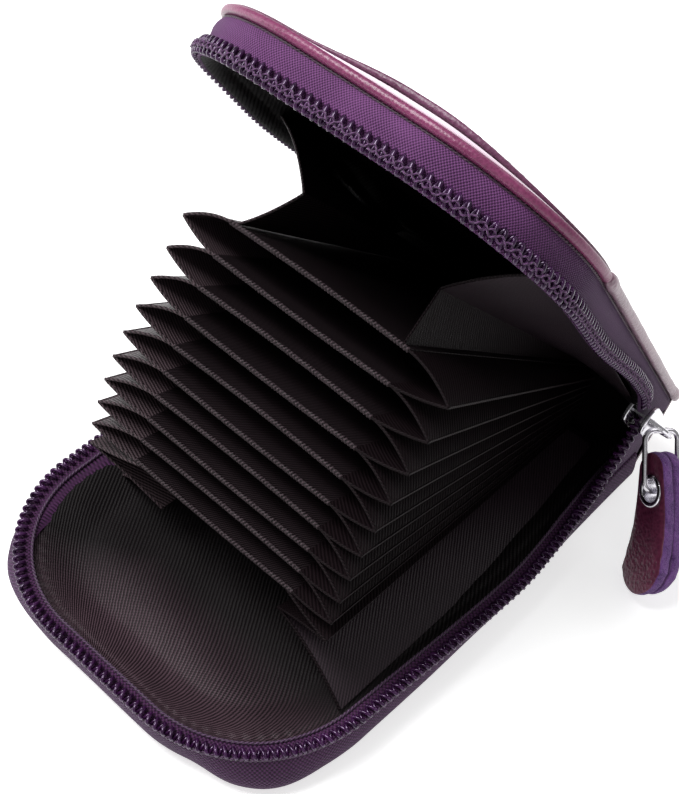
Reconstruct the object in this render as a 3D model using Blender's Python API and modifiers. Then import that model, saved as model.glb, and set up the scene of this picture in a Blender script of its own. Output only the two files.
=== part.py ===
"""Zip-round card case with an accordion of ten dividers, standing half open. Metres, +Z up.

The case lies on its lower cover, with the spine towards +Y and the mouths of the pockets towards -Y.
Pieces of the spine, the lid and the dividers are drawn where they are when the case is shut, and
the empties on their fold lines turn them open.
"""

import math

import bmesh
import bpy
from mathutils import Matrix, Vector

# Outline of the covers.
case_length = 0.110
case_width = 0.0746
front_radius = 0.026
back_radius = 0.003
foot_inset = 0.0013
corner_steps = 9

# Cloth, leather and board, and the gap between pieces that touch.
cover_leather = 0.0016
stiffener = 0.0008
lining_cloth = 0.0005
tape_cloth = 0.0007
touch_gap = 0.0003
leather_round_share = 0.45

# Heights of the shut case: the table, the line where the two zip halves meet, the lid's leather.
zip_line = 0.011
lid_wall = 0.007

# Zip.
coil_width = 0.0024
coil_height = 0.0011
coil_split = 0.001
coil_inset = 0.0009
tape_inset = 0.0014
back_coil_stop = 0.0182
lower_coil_stop = 0.0225
tape_stop = 0.0013

# Folds: how far the spine leans back and the lid turns up as the case stands.
spine_lean = math.radians(27)
lid_turn = math.radians(27)

# Outside pocket on the lid.
pocket_cloth = 0.0004
pocket_leather = 0.0011
pocket_front_inset = 0.0012
pocket_side_inset = 0.0009
pocket_step = 0.0036
pocket_step_play = 0.002
pocket_back = 0.040
pocket_back_radius = 0.004

# Spine.
spine_side_inset = 0.0013
spine_board_side = 0.0055
spine_board_ends = 0.0034

# Accordion.
divider_count = 10
divider_cloth = 0.0005
divider_reach = 0.084
divider_pitch = 0.0012
first_divider_rise = 0.0009
lowest_divider_lean = math.radians(14.5)
highest_divider_lean = math.radians(38.0)
lean_growth_share = 0.12
fold_play = 0.0043
pleat_depth = 0.0096
pleat_depth_at_spine = 0.0034
fold_overreach = 0.001
gusset_cloth = 0.0010
gusset_root = 0.0040
gusset_root_gap = 0.0006

# Inner folds and sewn edges of the accordion's first and last side panels.
top_fold_depth = 0.0042
top_fold_reach = 0.0790
top_fold_lean = math.radians(43.5)
low_fold_depth = 0.0044
low_fold_reach = 0.0800
low_fold_lean = math.radians(6.8)
side_seam_under = 0.0008
lid_seam_over = 0.0040
lid_seam_reach = 0.0740
low_seam_reach = 0.0840
seam_back = 0.0040

# Slider.
slider_back = 0.0130
slider_length = 0.0088
slider_width = 0.0058
slider_plate = 0.0009
slider_round = 0.0022
slider_clearance = 0.0003
post_thickness = 0.0004
post_length = 0.0014
post_front = 0.0012
crown_wire = 0.0010
crown_reach = 0.0035
link_play = 0.0009
crown_half = 0.0029

# Gores beside the spine, between the two zip halves.
gore_cloth = 0.0004
gore_steps = 8
gore_bulge_share = 0.42

# Pull: a wire link through the slider's crown, and two leathers with an eyelet.
link_wire = 0.0011
link_length = 0.0112
link_corner = 0.0017
pull_forward = math.radians(31.5)
pull_out = math.radians(39.5)
pull_twist = math.radians(-11.4)
pull_width = 0.0110
pull_neck = 0.0072
pull_tail = 0.0190
pull_top = 0.0072
pull_leather = 0.0022
pull_suede = 0.0019
eyelet_hole = 0.0020
eyelet_outer = 0.0030
eyelet_rim = 0.0003
eyelet_wall = 0.0004
cutter_overrun = 0.001

# Edges that turned or round pieces are drawn with.
wire_sides = 2
round_steps = 24

# Places of the fold lines of the shut case.
spine_axis = Vector((0, case_length / 2 - cover_leather / 2, cover_leather / 2))
lid_leather_low = zip_line + lid_wall
lid_axis = Vector((0, spine_axis.y, lid_leather_low + cover_leather / 2))
cover_back = spine_axis.y - cover_leather / 2 - touch_gap
cover_front = -case_length / 2
lower_board_low = cover_leather + touch_gap
lower_lining_low = lower_board_low + stiffener + touch_gap
lower_lining_top = lower_lining_low + lining_cloth
lid_board_low = lid_leather_low - touch_gap - stiffener
lid_lining_low = lid_board_low - touch_gap - lining_cloth
spine_board_y = spine_axis.y - cover_leather / 2 - touch_gap - stiffener / 2
spine_lining_y = spine_board_y - stiffener / 2 - touch_gap - lining_cloth / 2
divider_root_y = spine_lining_y - lining_cloth / 2 - touch_gap
inner_inset = tape_inset + tape_cloth / 2 + touch_gap
coil_x = case_width / 2 - coil_inset
plate_inner_x = coil_x - coil_width / 2 - slider_clearance
plate_outer_x = coil_x + coil_width / 2 + slider_clearance
slider_y = spine_axis.y - slider_back
side_seam_half = plate_inner_x - slider_plate - touch_gap - gusset_cloth
fold_half = side_seam_half - fold_play
knot_half = fold_half - pleat_depth
fold_half_at_spine = knot_half + pleat_depth_at_spine
top_fold_half = knot_half - top_fold_depth
low_fold_half = knot_half - low_fold_depth
eye_x = plate_outer_x + slider_plate + crown_reach - link_wire / 2 - link_play
eyelet_front = pull_leather + touch_gap / 2 + touch_gap + eyelet_rim


def clear_scene():
    for thing in list(bpy.data.objects):
        bpy.data.objects.remove(thing, do_unlink=True)


def collection(name, hidden=False):
    found = bpy.data.collections.new(name)
    bpy.context.scene.collection.children.link(found)
    found.hide_render = hidden
    return found


def material(name, colour, roughness, metallic=0.0):
    made = bpy.data.materials.new(name)
    made.use_nodes = True
    shader = made.node_tree.nodes["Principled BSDF"]
    shader.inputs["Base Color"].default_value = (*colour, 1)
    shader.inputs["Roughness"].default_value = roughness
    shader.inputs["Metallic"].default_value = metallic
    made.diffuse_color = (*colour, 1)
    return made


clear_scene()
case = collection("card_case")
cutters = collection("cutters", hidden=True)

purple_leather = material("purple_leather", (0.16, 0.035, 0.11), 0.45)
woven_tape = material("woven_tape", (0.09, 0.04, 0.16), 0.7)
nylon_coil = material("nylon_coil", (0.035, 0.008, 0.045), 0.35)
dark_lining = material("dark_lining", (0.018, 0.012, 0.015), 0.5)
grey_board = material("grey_board", (0.35, 0.33, 0.3), 0.9)
pale_lining = material("pale_lining", (0.75, 0.6, 0.68), 0.6)
burgundy_leather = material("burgundy_leather", (0.06, 0.012, 0.028), 0.35)
violet_suede = material("violet_suede", (0.22, 0.1, 0.4), 0.85)
chrome = material("chrome", (0.75, 0.75, 0.78), 0.12, 1.0)


def linked(obj, paint, home=case):
    for other in list(obj.users_collection):
        other.objects.unlink(obj)
    home.objects.link(obj)
    obj.data.materials.clear()
    obj.data.materials.append(paint)
    return obj


def empty(name, place, turn=0.0, parent=None, parent_place=None):
    """An empty on a fold line parallel to X. A positive turn opens the case."""
    made = bpy.data.objects.new(name, None)
    case.objects.link(made)
    made.empty_display_size = case_width / 8
    if parent is None:
        made.location = place
    else:
        made.parent = parent
        made.location = Vector(place) - Vector(parent_place)
    made.rotation_euler = (-turn, 0, 0)
    return made


def hang(obj, pivot, pivot_place):
    """Parents a piece drawn in the shut case to the empty that opens it."""
    obj.parent = pivot
    obj.matrix_parent_inverse = Matrix.Translation(-Vector(pivot_place))
    return obj


def arc(centre_x, centre_y, radius, start, end, steps):
    """Points on a circular arc, angles in quarter turns from +X."""
    points = []
    for step in range(steps + 1):
        angle = math.pi / 2 * (start + (end - start) * step / steps)
        points.append((centre_x + radius * math.cos(angle), centre_y + radius * math.sin(angle)))
    return points


def cover_outline(inset, back, corner=back_radius):
    """The covers' outline, drawn in by an inset, with its back edge at a given y."""
    half = case_width / 2 - inset
    front = cover_front + inset
    radius = front_radius - inset
    points = arc(half - corner, back - corner, corner, 1, 0, 3)
    points += arc(half - radius, front + radius, radius, 0, -1, corner_steps)
    points += arc(-half + radius, front + radius, radius, -1, -2, corner_steps)
    points += arc(-half + corner, back - corner, corner, 2, 1, 3)
    return points


def band_outline(inset, thickness, back):
    """A U-shaped band that follows the covers' sides and front, open towards the spine."""
    points = []
    for offset, order in ((-thickness / 2, 1), (thickness / 2, -1)):
        half = case_width / 2 - inset - offset
        front = cover_front + inset + offset
        radius = front_radius - inset - offset
        side = [(half, back)]
        side += arc(half - radius, front + radius, radius, 0, -1, corner_steps)
        side += arc(-half + radius, front + radius, radius, -1, -2, corner_steps)
        side += [(-half, back)]
        points += side[::order]
    return points


def slab(name, points, low, thickness, paint, rounding=0.0):
    """A flat outline as a filled 2D curve with an even thickness, its edge rounded if asked."""
    curve = bpy.data.curves.new(name, "CURVE")
    curve.dimensions = "2D"
    curve.fill_mode = "BOTH"
    curve.extrude = thickness / 2 - rounding
    curve.bevel_depth = rounding
    curve.bevel_resolution = 1
    curve.offset = -rounding
    spline = curve.splines.new("POLY")
    spline.points.add(len(points) - 1)
    for point, place in zip(spline.points, points):
        point.co = (place[0], place[1], 0, 1)
    spline.use_cyclic_u = True
    made = bpy.data.objects.new(name, curve)
    case.objects.link(made)
    made.location.z = low + thickness / 2
    return linked(made, paint)


def upright_slab(name, points, middle_y, thickness, paint, rounding=0.0):
    """A slab in the XZ plane, for the spine."""
    made = slab(name, points, 0, thickness, paint, rounding)
    made.rotation_euler = (math.pi / 2, 0, 0)
    made.location = (0, middle_y, 0)
    return made


def meshed(obj):
    """The curve as a mesh object, with its loose caps welded, in the curve's place."""
    bpy.context.view_layer.update()
    graph = bpy.context.evaluated_depsgraph_get()
    mesh = bpy.data.meshes.new_from_object(obj.evaluated_get(graph))
    shape = bmesh.new()
    shape.from_mesh(mesh)
    bmesh.ops.remove_doubles(shape, verts=shape.verts, dist=touch_gap / 100)
    shape.to_mesh(mesh)
    shape.free()
    name = obj.name
    place = obj.matrix_world.copy()
    home = obj.users_collection[0]
    paint = obj.active_material
    bpy.data.objects.remove(obj, do_unlink=True)
    made = bpy.data.objects.new(name, mesh)
    home.objects.link(made)
    made.matrix_world = place
    return linked(made, paint, home)


def box(name, low, high, paint, home=case):
    """A block between two corners."""
    mesh = bpy.data.meshes.new(name)
    shape = bmesh.new()
    bmesh.ops.create_cube(shape, size=1)
    size = Vector(high) - Vector(low)
    bmesh.ops.scale(shape, vec=size, verts=shape.verts)
    bmesh.ops.translate(shape, vec=(Vector(high) + Vector(low)) / 2, verts=shape.verts)
    shape.to_mesh(mesh)
    shape.free()
    made = bpy.data.objects.new(name, mesh)
    home.objects.link(made)
    return linked(made, paint, home)


def tube(name, points, radius, paint, cyclic=False):
    """A round wire along points."""
    curve = bpy.data.curves.new(name, "CURVE")
    curve.dimensions = "3D"
    curve.bevel_depth = radius
    curve.bevel_resolution = wire_sides
    curve.use_fill_caps = not cyclic
    spline = curve.splines.new("POLY")
    spline.points.add(len(points) - 1)
    for point, place in zip(spline.points, points):
        point.co = (*place, 1)
    spline.use_cyclic_u = cyclic
    made = bpy.data.objects.new(name, curve)
    case.objects.link(made)
    return linked(made, paint)


def boolean(obj, other, operation):
    """Joins or cuts with a piece that isn't itself drawn."""
    step = obj.modifiers.new(operation.lower() + "_" + other.name, "BOOLEAN")
    step.operation = operation
    step.object = other
    step.solver = "EXACT"
    for home in list(other.users_collection):
        home.objects.unlink(other)
    cutters.objects.link(other)
    other.hide_render = True
    other.display_type = "WIRE"


def opened(y, z, turns):
    """Where a point of the shut case lies once each (axis, angle) has turned it, outermost last."""
    for axis, angle in turns:
        dy = y - axis.y
        dz = z - axis.z
        y = axis.y + dy * math.cos(angle) + dz * math.sin(angle)
        z = axis.z - dy * math.sin(angle) + dz * math.cos(angle)
    return y, z


def with_spine(y, z):
    return opened(y, z, [(spine_axis, spine_lean)])


def with_lid(y, z):
    return opened(y, z, [(lid_axis, lid_turn), (spine_axis, spine_lean)])


def divider_root(index):
    """Height of a divider's fold line in the shut case, counted from the lowest divider."""
    return lower_lining_top + first_divider_rise + divider_pitch * index


def divider_lean(index):
    """How steeply a divider stands, evenly spread, with a little more room towards the lid."""
    share = index / (divider_count - 1)
    share = share * (1 - lean_growth_share) + lean_growth_share * share * share
    return lowest_divider_lean + (highest_divider_lean - lowest_divider_lean) * share


# The empties on the fold lines.
spine_fold = empty("spine_fold", spine_axis, spine_lean)
lid_fold = empty("lid_fold", lid_axis, lid_turn, spine_fold, spine_axis)


def lower_half():
    leather_round = cover_leather * leather_round_share
    slab("lower_cover", cover_outline(foot_inset, cover_back), 0, cover_leather, purple_leather,
         leather_round)
    inner = cover_outline(inner_inset, cover_back - touch_gap)
    slab("lower_board", inner, lower_board_low, stiffener, grey_board)
    slab("lower_lining", inner, lower_lining_low, lining_cloth, dark_lining)
    coil_top = zip_line - coil_split / 2
    tape_low = cover_leather + touch_gap
    tape_top = coil_top - coil_height - touch_gap
    tape = band_outline(tape_inset, tape_cloth, cover_back - tape_stop)
    slab("lower_zip_tape", tape, tape_low, tape_top - tape_low, woven_tape)
    coil = band_outline(coil_inset, coil_width, spine_axis.y - lower_coil_stop)
    slab("lower_zip_coil", coil, coil_top - coil_height, coil_height, nylon_coil, coil_height / 3)


def upper_half():
    leather_round = cover_leather * leather_round_share
    made = [slab("upper_cover", cover_outline(0, cover_back), lid_leather_low, cover_leather,
                 purple_leather, leather_round)]
    inner = cover_outline(inner_inset, cover_back - touch_gap)
    made.append(slab("upper_board", inner, lid_board_low, stiffener, grey_board))
    made.append(slab("upper_lining", inner, lid_lining_low, lining_cloth, dark_lining))
    coil_low = zip_line + coil_split / 2
    tape_low = coil_low + coil_height + touch_gap
    tape_top = lid_leather_low - touch_gap
    tape = band_outline(tape_inset, tape_cloth, cover_back - tape_stop)
    made.append(slab("upper_zip_tape", tape, tape_low, tape_top - tape_low, woven_tape))
    coil = band_outline(coil_inset, coil_width, spine_axis.y - back_coil_stop)
    made.append(slab("upper_zip_coil", coil, coil_low, coil_height, nylon_coil, coil_height / 3))
    cloth_low = lid_leather_low + cover_leather + touch_gap
    panel_low = cloth_low + pocket_cloth + touch_gap
    cloth = pocket_outline(pocket_side_inset, pocket_front_inset)
    made.append(slab("outer_pocket_lining", cloth, cloth_low, pocket_cloth, pale_lining))
    panel = pocket_outline(pocket_side_inset, pocket_front_inset + pocket_cloth)
    made.append(slab("outer_pocket_panel", panel, panel_low, pocket_leather, purple_leather,
                     pocket_leather * leather_round_share))
    for piece in made:
        hang(piece, lid_fold, lid_axis)


def pocket_outline(side_inset, front_inset):
    """The outside pocket's outline: flush round the front, then stepped in beside its sewn sides."""
    half = case_width / 2 - side_inset
    waist = half - pocket_step
    front = cover_front + front_inset
    radius = front_radius - front_inset
    step_y = front + radius + pocket_step_play
    corner = pocket_back_radius
    points = arc(waist - corner, pocket_back - corner, corner, 1, 0, 3)
    points += [(waist, step_y + pocket_step), (half, step_y)]
    points += arc(half - radius, front + radius, radius, 0, -1, corner_steps)
    points += arc(-half + radius, front + radius, radius, -1, -2, corner_steps)
    points += [(-half, step_y), (-waist, step_y + pocket_step)]
    points += arc(-waist + corner, pocket_back - corner, corner, 2, 1, 3)
    return points


def upright_outline(half, low, high, corner):
    points = arc(half - corner, high - corner, corner, 1, 0, 3)
    points += arc(half - corner, low + corner, corner, 0, -1, 3)
    points += arc(-half + corner, low + corner, corner, -1, -2, 3)
    points += arc(-half + corner, high - corner, corner, 2, 1, 3)
    return points


def spine():
    half = case_width / 2 - spine_side_inset
    low = spine_axis.z - cover_leather / 2
    high = lid_axis.z + cover_leather / 2
    leather = upright_outline(half, low, high, back_radius)
    board_low = lower_lining_top + spine_board_ends - lower_board_low
    board_high = lid_lining_low - (board_low - lower_lining_top)
    board = upright_outline(half - spine_board_side, board_low, board_high, cover_leather)
    made = [upright_slab("spine_leather", leather, spine_axis.y, cover_leather, purple_leather,
                         cover_leather * leather_round_share)]
    made.append(upright_slab("spine_board", board, spine_board_y, stiffener, grey_board))
    lining_low = divider_root(0) - touch_gap
    lining_high = divider_root(divider_count - 1) + touch_gap
    lining = upright_outline(half - spine_board_side, lining_low, lining_high, cover_leather)
    made.append(upright_slab("spine_lining", lining, spine_lining_y, lining_cloth, dark_lining))
    for piece in made:
        hang(piece, spine_fold, spine_axis)


def divider(index):
    """One divider: a sheet from its fold line on the spine to its mouth."""
    root_z = divider_root(index)
    place = Vector((0, divider_root_y, root_z))
    turn = divider_lean(index) - spine_lean
    number = divider_count - index
    fold = empty(f"divider_{number:02d}_fold", place, turn, spine_fold, spine_axis)
    half = knot_half - touch_gap
    sheet = [(half, divider_root_y), (half, divider_root_y - divider_reach),
             (-half, divider_root_y - divider_reach), (-half, divider_root_y)]
    made = slab(f"divider_{number:02d}", sheet, root_z - divider_cloth / 2, divider_cloth, dark_lining)
    hang(made, fold, place)


def fan_point(index, lean, reach):
    """A point at a given reach and lean from a divider's fold line, as (y, z)."""
    y, z = with_spine(divider_root_y, divider_root(index))
    return y - reach * math.cos(lean), z + reach * math.sin(lean)


def gusset_sections():
    """The side cloth's fold lines from the lid down to the lower half: (half width, y, z) at the
    mouth and at the spine."""
    top = divider_count - 1
    lid_y, lid_z = with_lid(spine_axis.y - lid_seam_reach, zip_line + lid_seam_over)
    mouth = [(side_seam_half, lid_y, lid_z)]
    mouth.append((top_fold_half, *fan_point(top, top_fold_lean, top_fold_reach)))
    lid_back_y, lid_back_z = with_lid(spine_axis.y - seam_back, zip_line + side_seam_under)
    root = [(side_seam_half, lid_back_y, lid_back_z)]
    root_lean = divider_lean(top)
    root.append((knot_half - gusset_root_gap, *fan_point(top, root_lean + math.pi / 12, gusset_root)))
    for index in range(top, -1, -1):
        lean = divider_lean(index)
        mouth.append((knot_half, *fan_point(index, lean, divider_reach)))
        root.append((knot_half, *fan_point(index, lean, gusset_root)))
        if index > 0:
            below = fan_point(index - 1, divider_lean(index - 1), divider_reach + 2 * fold_overreach)
            here = fan_point(index, lean, divider_reach + 2 * fold_overreach)
            mouth.append((fold_half, (below[0] + here[0]) / 2, (below[1] + here[1]) / 2))
            below = fan_point(index - 1, divider_lean(index - 1), gusset_root)
            here = fan_point(index, lean, gusset_root)
            root.append((fold_half_at_spine, (below[0] + here[0]) / 2, (below[1] + here[1]) / 2))
    drop = divider_pitch / 2
    last = fan_point(0, divider_lean(0), divider_reach + 2 * fold_overreach)
    mouth.append((fold_half, last[0], last[1] - 4 * drop))
    last = fan_point(0, divider_lean(0), gusset_root)
    root.append((fold_half_at_spine, last[0], last[1] - drop))
    mouth.append((low_fold_half, *fan_point(0, low_fold_lean, low_fold_reach)))
    root.append((knot_half - gusset_root_gap, last[0], last[1] - 2 * drop))
    mouth.append((side_seam_half, spine_axis.y - low_seam_reach, zip_line - side_seam_under))
    root.append((side_seam_half, spine_axis.y - seam_back, lower_lining_top + 2 * touch_gap))
    return mouth, root


def gusset(name, side):
    """The pleated cloth down one side, a loft from its mouth to the spine."""
    mouth, root = gusset_sections()
    mesh = bpy.data.meshes.new(name)
    shape = bmesh.new()
    rows = []
    for section, offset in ((mouth, 0), (root, 0), (root, gusset_cloth), (mouth, gusset_cloth)):
        rows.append([shape.verts.new((side * (x + offset), y, z)) for x, y, z in section])
    inner_mouth, inner_root, outer_root, outer_mouth = rows
    for step in range(len(mouth) - 1):
        # Both faces of the cloth are split along the same diagonal, so it keeps its thickness.
        for front, back in ((inner_mouth, inner_root), (outer_mouth, outer_root)):
            shape.faces.new((front[step], front[step + 1], back[step]))
            shape.faces.new((front[step + 1], back[step + 1], back[step]))
        for near, far in ((inner_mouth, outer_mouth), (inner_root, outer_root)):
            shape.faces.new((near[step], near[step + 1], far[step + 1], far[step]))
    for end in (0, -1):
        shape.faces.new([row[end] for row in rows])
    bmesh.ops.recalc_face_normals(shape, faces=shape.faces)
    shape.to_mesh(mesh)
    shape.free()
    made = bpy.data.objects.new(name, mesh)
    case.objects.link(made)
    linked(made, dark_lining)


def gore(name, side):
    """The zip's shut tail beside the spine: it fills the notch between the two halves."""
    low = zip_line - coil_split / 2 - coil_height
    high = zip_line + coil_split / 2 + coil_height
    start = (spine_axis.y - lower_coil_stop + touch_gap, low)
    tip = with_lid(slider_y, high)
    back = with_lid(spine_axis.y - seam_back, high)
    foot = (cover_back - tape_stop, low)
    bend = (start[0] + (back[0] - start[0]) * gore_bulge_share,
            start[1] + (tip[1] - start[1]) * (1 - gore_bulge_share) / 2)
    points = []
    for step in range(gore_steps + 1):
        t = step / gore_steps
        weights = ((1 - t) ** 2, 2 * t * (1 - t), t * t)
        points.append(tuple(sum(w * p[axis] for w, p in zip(weights, (start, bend, tip)))
                            for axis in (0, 1)))
    points += [back, foot]
    made = slab(name, points, 0, gore_cloth, woven_tape)
    middle = case_width / 2 - tape_inset
    made.matrix_world = Matrix(((0, 0, 1, side * middle), (1, 0, 0, 0), (0, 1, 0, 0), (0, 0, 0, 1)))


def slider():
    """Two plates joined by a thin post between the coils, and a bridge along the outer plate."""
    place = Vector((0, slider_y, zip_line))
    base = empty("slider_run", place, 0, lid_fold, lid_axis)
    half_y = slider_length / 2
    half_z = slider_width / 2
    outline = []
    for quarter, centre in enumerate(((1, 1), (-1, 1), (-1, -1), (1, -1))):
        outline += arc(centre[0] * (half_z - slider_round), centre[1] * (half_y - slider_round),
                       slider_round, quarter, quarter + 1, 3)
    plates = []
    for name, middle in (("slider_body", plate_outer_x + slider_plate / 2),
                         ("slider_inner_plate", plate_inner_x - slider_plate / 2)):
        plate = slab(name, outline, 0, slider_plate, chrome, slider_plate / 4)
        plate.matrix_world = Matrix(((0, 0, 1, middle), (0, 1, 0, slider_y), (-1, 0, 0, zip_line),
                                     (0, 0, 0, 1)))
        plates.append(meshed(plate))
    body, inner = plates
    post_y = slider_y - half_y + post_front
    post = box("slider_post", (plate_inner_x - slider_plate / 2, post_y, zip_line - post_thickness / 2),
               (plate_outer_x + slider_plate / 2, post_y + post_length, zip_line + post_thickness / 2),
               chrome, cutters)
    boolean(body, inner, "UNION")
    boolean(body, post, "UNION")
    reach = []
    start_x = plate_outer_x + slider_plate / 2
    end_x = plate_outer_x + slider_plate + crown_reach + crown_wire / 2
    for step in range(round_steps // 2 + 1):
        angle = math.pi * step / (round_steps // 2)
        reach.append((start_x + (end_x - start_x) * math.sin(angle),
                      slider_y + (crown_half + crown_wire / 2) * math.cos(angle), zip_line))
    crown = meshed(tube("slider_crown", reach, crown_wire / 2, chrome))
    boolean(body, crown, "UNION")
    for piece in (body, inner, post, crown):
        hang_world = piece.matrix_world.copy()
        piece.parent = base
        piece.matrix_parent_inverse = Matrix.Translation(-place)
        piece.matrix_basis = hang_world
    return base


def pull():
    """The link and the tab, drawn hanging straight down from the origin and then turned."""
    eye_y, eye_z = with_lid(slider_y, zip_line)
    eye = Vector((eye_x, eye_y, eye_z))
    turn = Matrix.Rotation(-pull_out, 4, "Y") @ Matrix.Rotation(-pull_forward, 4, "X")
    turn = turn @ Matrix.Rotation(pull_twist, 4, "Z")
    link_place = Matrix.Translation(eye) @ turn
    tab_place = link_place @ Matrix.Translation((0, 0, -link_length))
    half = eyelet_front + touch_gap + link_wire / 2
    low = link_corner - link_length
    flat = arc(half - link_corner, -link_corner, link_corner, 1, 0, 4)
    flat += arc(half - link_corner, low, link_corner, 0, -1, 4)
    flat += arc(-half + link_corner, low, link_corner, -1, -2, 4)
    flat += arc(-half + link_corner, -link_corner, link_corner, -2, -3, 4)
    loop = [(0, y, z) for y, z in flat]
    link = tube("pull_link", loop, link_wire / 2, chrome, cyclic=True)
    link.matrix_world = link_place
    front_y = -(pull_leather + touch_gap / 2)
    for name, low, thickness, paint in (
            ("pull_front_leather", front_y, pull_leather, burgundy_leather),
            ("pull_back_suede", touch_gap / 2, pull_suede, violet_suede)):
        layer = slab(name, tab_outline(), 0, thickness, paint, thickness / 4)
        layer.matrix_world = Matrix(((1, 0, 0, 0), (0, 0, -1, low + thickness / 2), (0, 1, 0, 0),
                                     (0, 0, 0, 1)))
        layer = meshed(layer)
        layer.data.transform(layer.matrix_world)
        layer.matrix_world = tab_place
        hole = cylinder(name + "_hole", eyelet_hole + eyelet_wall + touch_gap,
                        2 * (pull_leather + pull_suede + cutter_overrun))
        hole.matrix_world = tab_place
        boolean(layer, hole, "DIFFERENCE")
    eyelet(tab_place)


def tab_outline():
    """The tab's outline in the XZ plane as (x, z): a narrow top and a wide round tail."""
    tail_radius = pull_width / 2
    neck_radius = pull_neck / 2
    points = arc(0, pull_top - neck_radius, neck_radius, 2, 0, 8)
    points += arc(0, -pull_tail + tail_radius, tail_radius, 0, -2, 10)
    return points


def cylinder(name, radius, depth):
    """A round cutter along Y."""
    mesh = bpy.data.meshes.new(name)
    shape = bmesh.new()
    bmesh.ops.create_cone(shape, cap_ends=True, segments=round_steps, radius1=radius, radius2=radius,
                          depth=depth, matrix=Matrix.Rotation(math.pi / 2, 4, "X"))
    shape.to_mesh(mesh)
    shape.free()
    made = bpy.data.objects.new(name, mesh)
    cutters.objects.link(made)
    return made


def eyelet(place):
    """A metal eyelet turned about Y: a flanged sleeve through both leathers."""
    front = -eyelet_front
    back = pull_suede + touch_gap / 2 + touch_gap + eyelet_rim
    outline = [(eyelet_hole, front), (eyelet_outer, front), (eyelet_outer, front + eyelet_rim),
               (eyelet_hole + eyelet_wall, front + eyelet_rim),
               (eyelet_hole + eyelet_wall, back - eyelet_rim), (eyelet_outer, back - eyelet_rim),
               (eyelet_outer, back), (eyelet_hole, back)]
    mesh = bpy.data.meshes.new("pull_eyelet")
    shape = bmesh.new()
    ring = [shape.verts.new((x, 0, y)) for x, y in reversed(outline)]
    for first, second in zip(ring, ring[1:] + ring[:1]):
        shape.edges.new((first, second))
    shape.to_mesh(mesh)
    shape.free()
    made = bpy.data.objects.new("pull_eyelet", mesh)
    case.objects.link(made)
    linked(made, chrome)
    screw = made.modifiers.new("turned", "SCREW")
    screw.axis = "Z"
    screw.steps = round_steps
    screw.render_steps = round_steps
    screw.use_merge_vertices = True
    screw.merge_threshold = touch_gap / 100
    made.matrix_world = place @ Matrix.Rotation(-math.pi / 2, 4, "X")


lower_half()
upper_half()
spine()
for number in range(divider_count):
    divider(number)
gusset("right_gusset", 1)
gusset("left_gusset", -1)
gore("right_zip_gore", 1)
gore("left_zip_gore", -1)
slider()
pull()
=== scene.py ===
"""The looks of the card case: cloth, leather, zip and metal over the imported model.

Shapes are worked out in millimetres and turned into metres where an object is made. Pieces of the
spine and the lid are drawn as they lie when the case is shut, and then opened.
"""

from math import asin, cos, pi, radians, sin, sqrt

import bmesh
import bpy
import numpy as np
from mathutils import Matrix, Vector


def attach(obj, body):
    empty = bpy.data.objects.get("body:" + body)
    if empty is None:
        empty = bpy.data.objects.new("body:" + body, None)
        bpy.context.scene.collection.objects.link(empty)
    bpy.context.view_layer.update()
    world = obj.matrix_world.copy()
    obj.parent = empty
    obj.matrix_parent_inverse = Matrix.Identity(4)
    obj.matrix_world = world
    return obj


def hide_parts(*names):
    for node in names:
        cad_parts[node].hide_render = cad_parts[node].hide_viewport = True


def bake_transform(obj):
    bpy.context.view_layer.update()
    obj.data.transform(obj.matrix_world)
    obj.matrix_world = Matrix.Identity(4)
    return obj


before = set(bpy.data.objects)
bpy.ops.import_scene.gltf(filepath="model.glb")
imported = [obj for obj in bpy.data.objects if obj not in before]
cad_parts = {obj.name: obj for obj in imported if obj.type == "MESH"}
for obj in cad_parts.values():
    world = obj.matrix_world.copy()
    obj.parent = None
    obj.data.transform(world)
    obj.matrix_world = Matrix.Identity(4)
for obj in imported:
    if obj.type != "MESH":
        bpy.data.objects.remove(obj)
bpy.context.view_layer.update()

MM = 0.001
TAU = 2 * pi
linspace = np.linspace
norm = np.linalg.norm

# Sizes of the case, in mm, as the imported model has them.
HALF = 37.3
FRONT = -55.0
BACK = 53.1
RADIUS = 26.0
SIDE = HALF - RADIUS
LOW = FRONT + RADIUS
LEAN = radians(27)
TURN = radians(27)
SPINE_AXIS = (54.2, 0.8)
LID_AXIS = (54.2, 18.8)
REACH = 84.0
KNOT = 18.8
COIL_PITCH = 1.55
# How far the tab hangs below the eye of the slider's crown, and the eyelet's radius.
TAB_DROP = 11.2
EYELET = 2.75


# ---- camera

PHOTO_WIDTH = 679
PHOTO_HEIGHT = 794


def placed(name, data):
    """A new object in the scene."""
    made = bpy.data.objects.new(name, data)
    bpy.context.scene.collection.objects.link(made)
    return made


camera_data = bpy.data.cameras.new("camera")
camera = placed("camera", camera_data)
# Its right, up and back directions, and its place.
turn = Matrix(((0.733575, 0.674782, 0.080846), (-0.555070, 0.526254, 0.644170),
    (0.392129, -0.517422, 0.760598))).transposed().to_4x4()
turn.translation = (0.101392, -0.129638, 0.228103)
camera.matrix_world = turn
camera_data.sensor_fit = "HORIZONTAL"
camera_data.sensor_width = 36
camera_data.lens = 36 * 1465.41 / PHOTO_WIDTH
camera_data.shift_x = (PHOTO_WIDTH / 2 - 343.016) / PHOTO_WIDTH
camera_data.shift_y = (403.748 - PHOTO_HEIGHT / 2) / PHOTO_WIDTH
camera_data.clip_start = 0.001
bpy.context.scene.camera = camera


# ---- materials

def linear(*colour):
    """An sRGB colour of 0 to 255 as the shader takes it."""
    parts = [value / 255 for value in colour]
    return (*(v / 12.92 if v <= 0.04045 else ((v + 0.055) / 1.055) ** 2.4 for v in parts), 1.0)


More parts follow.
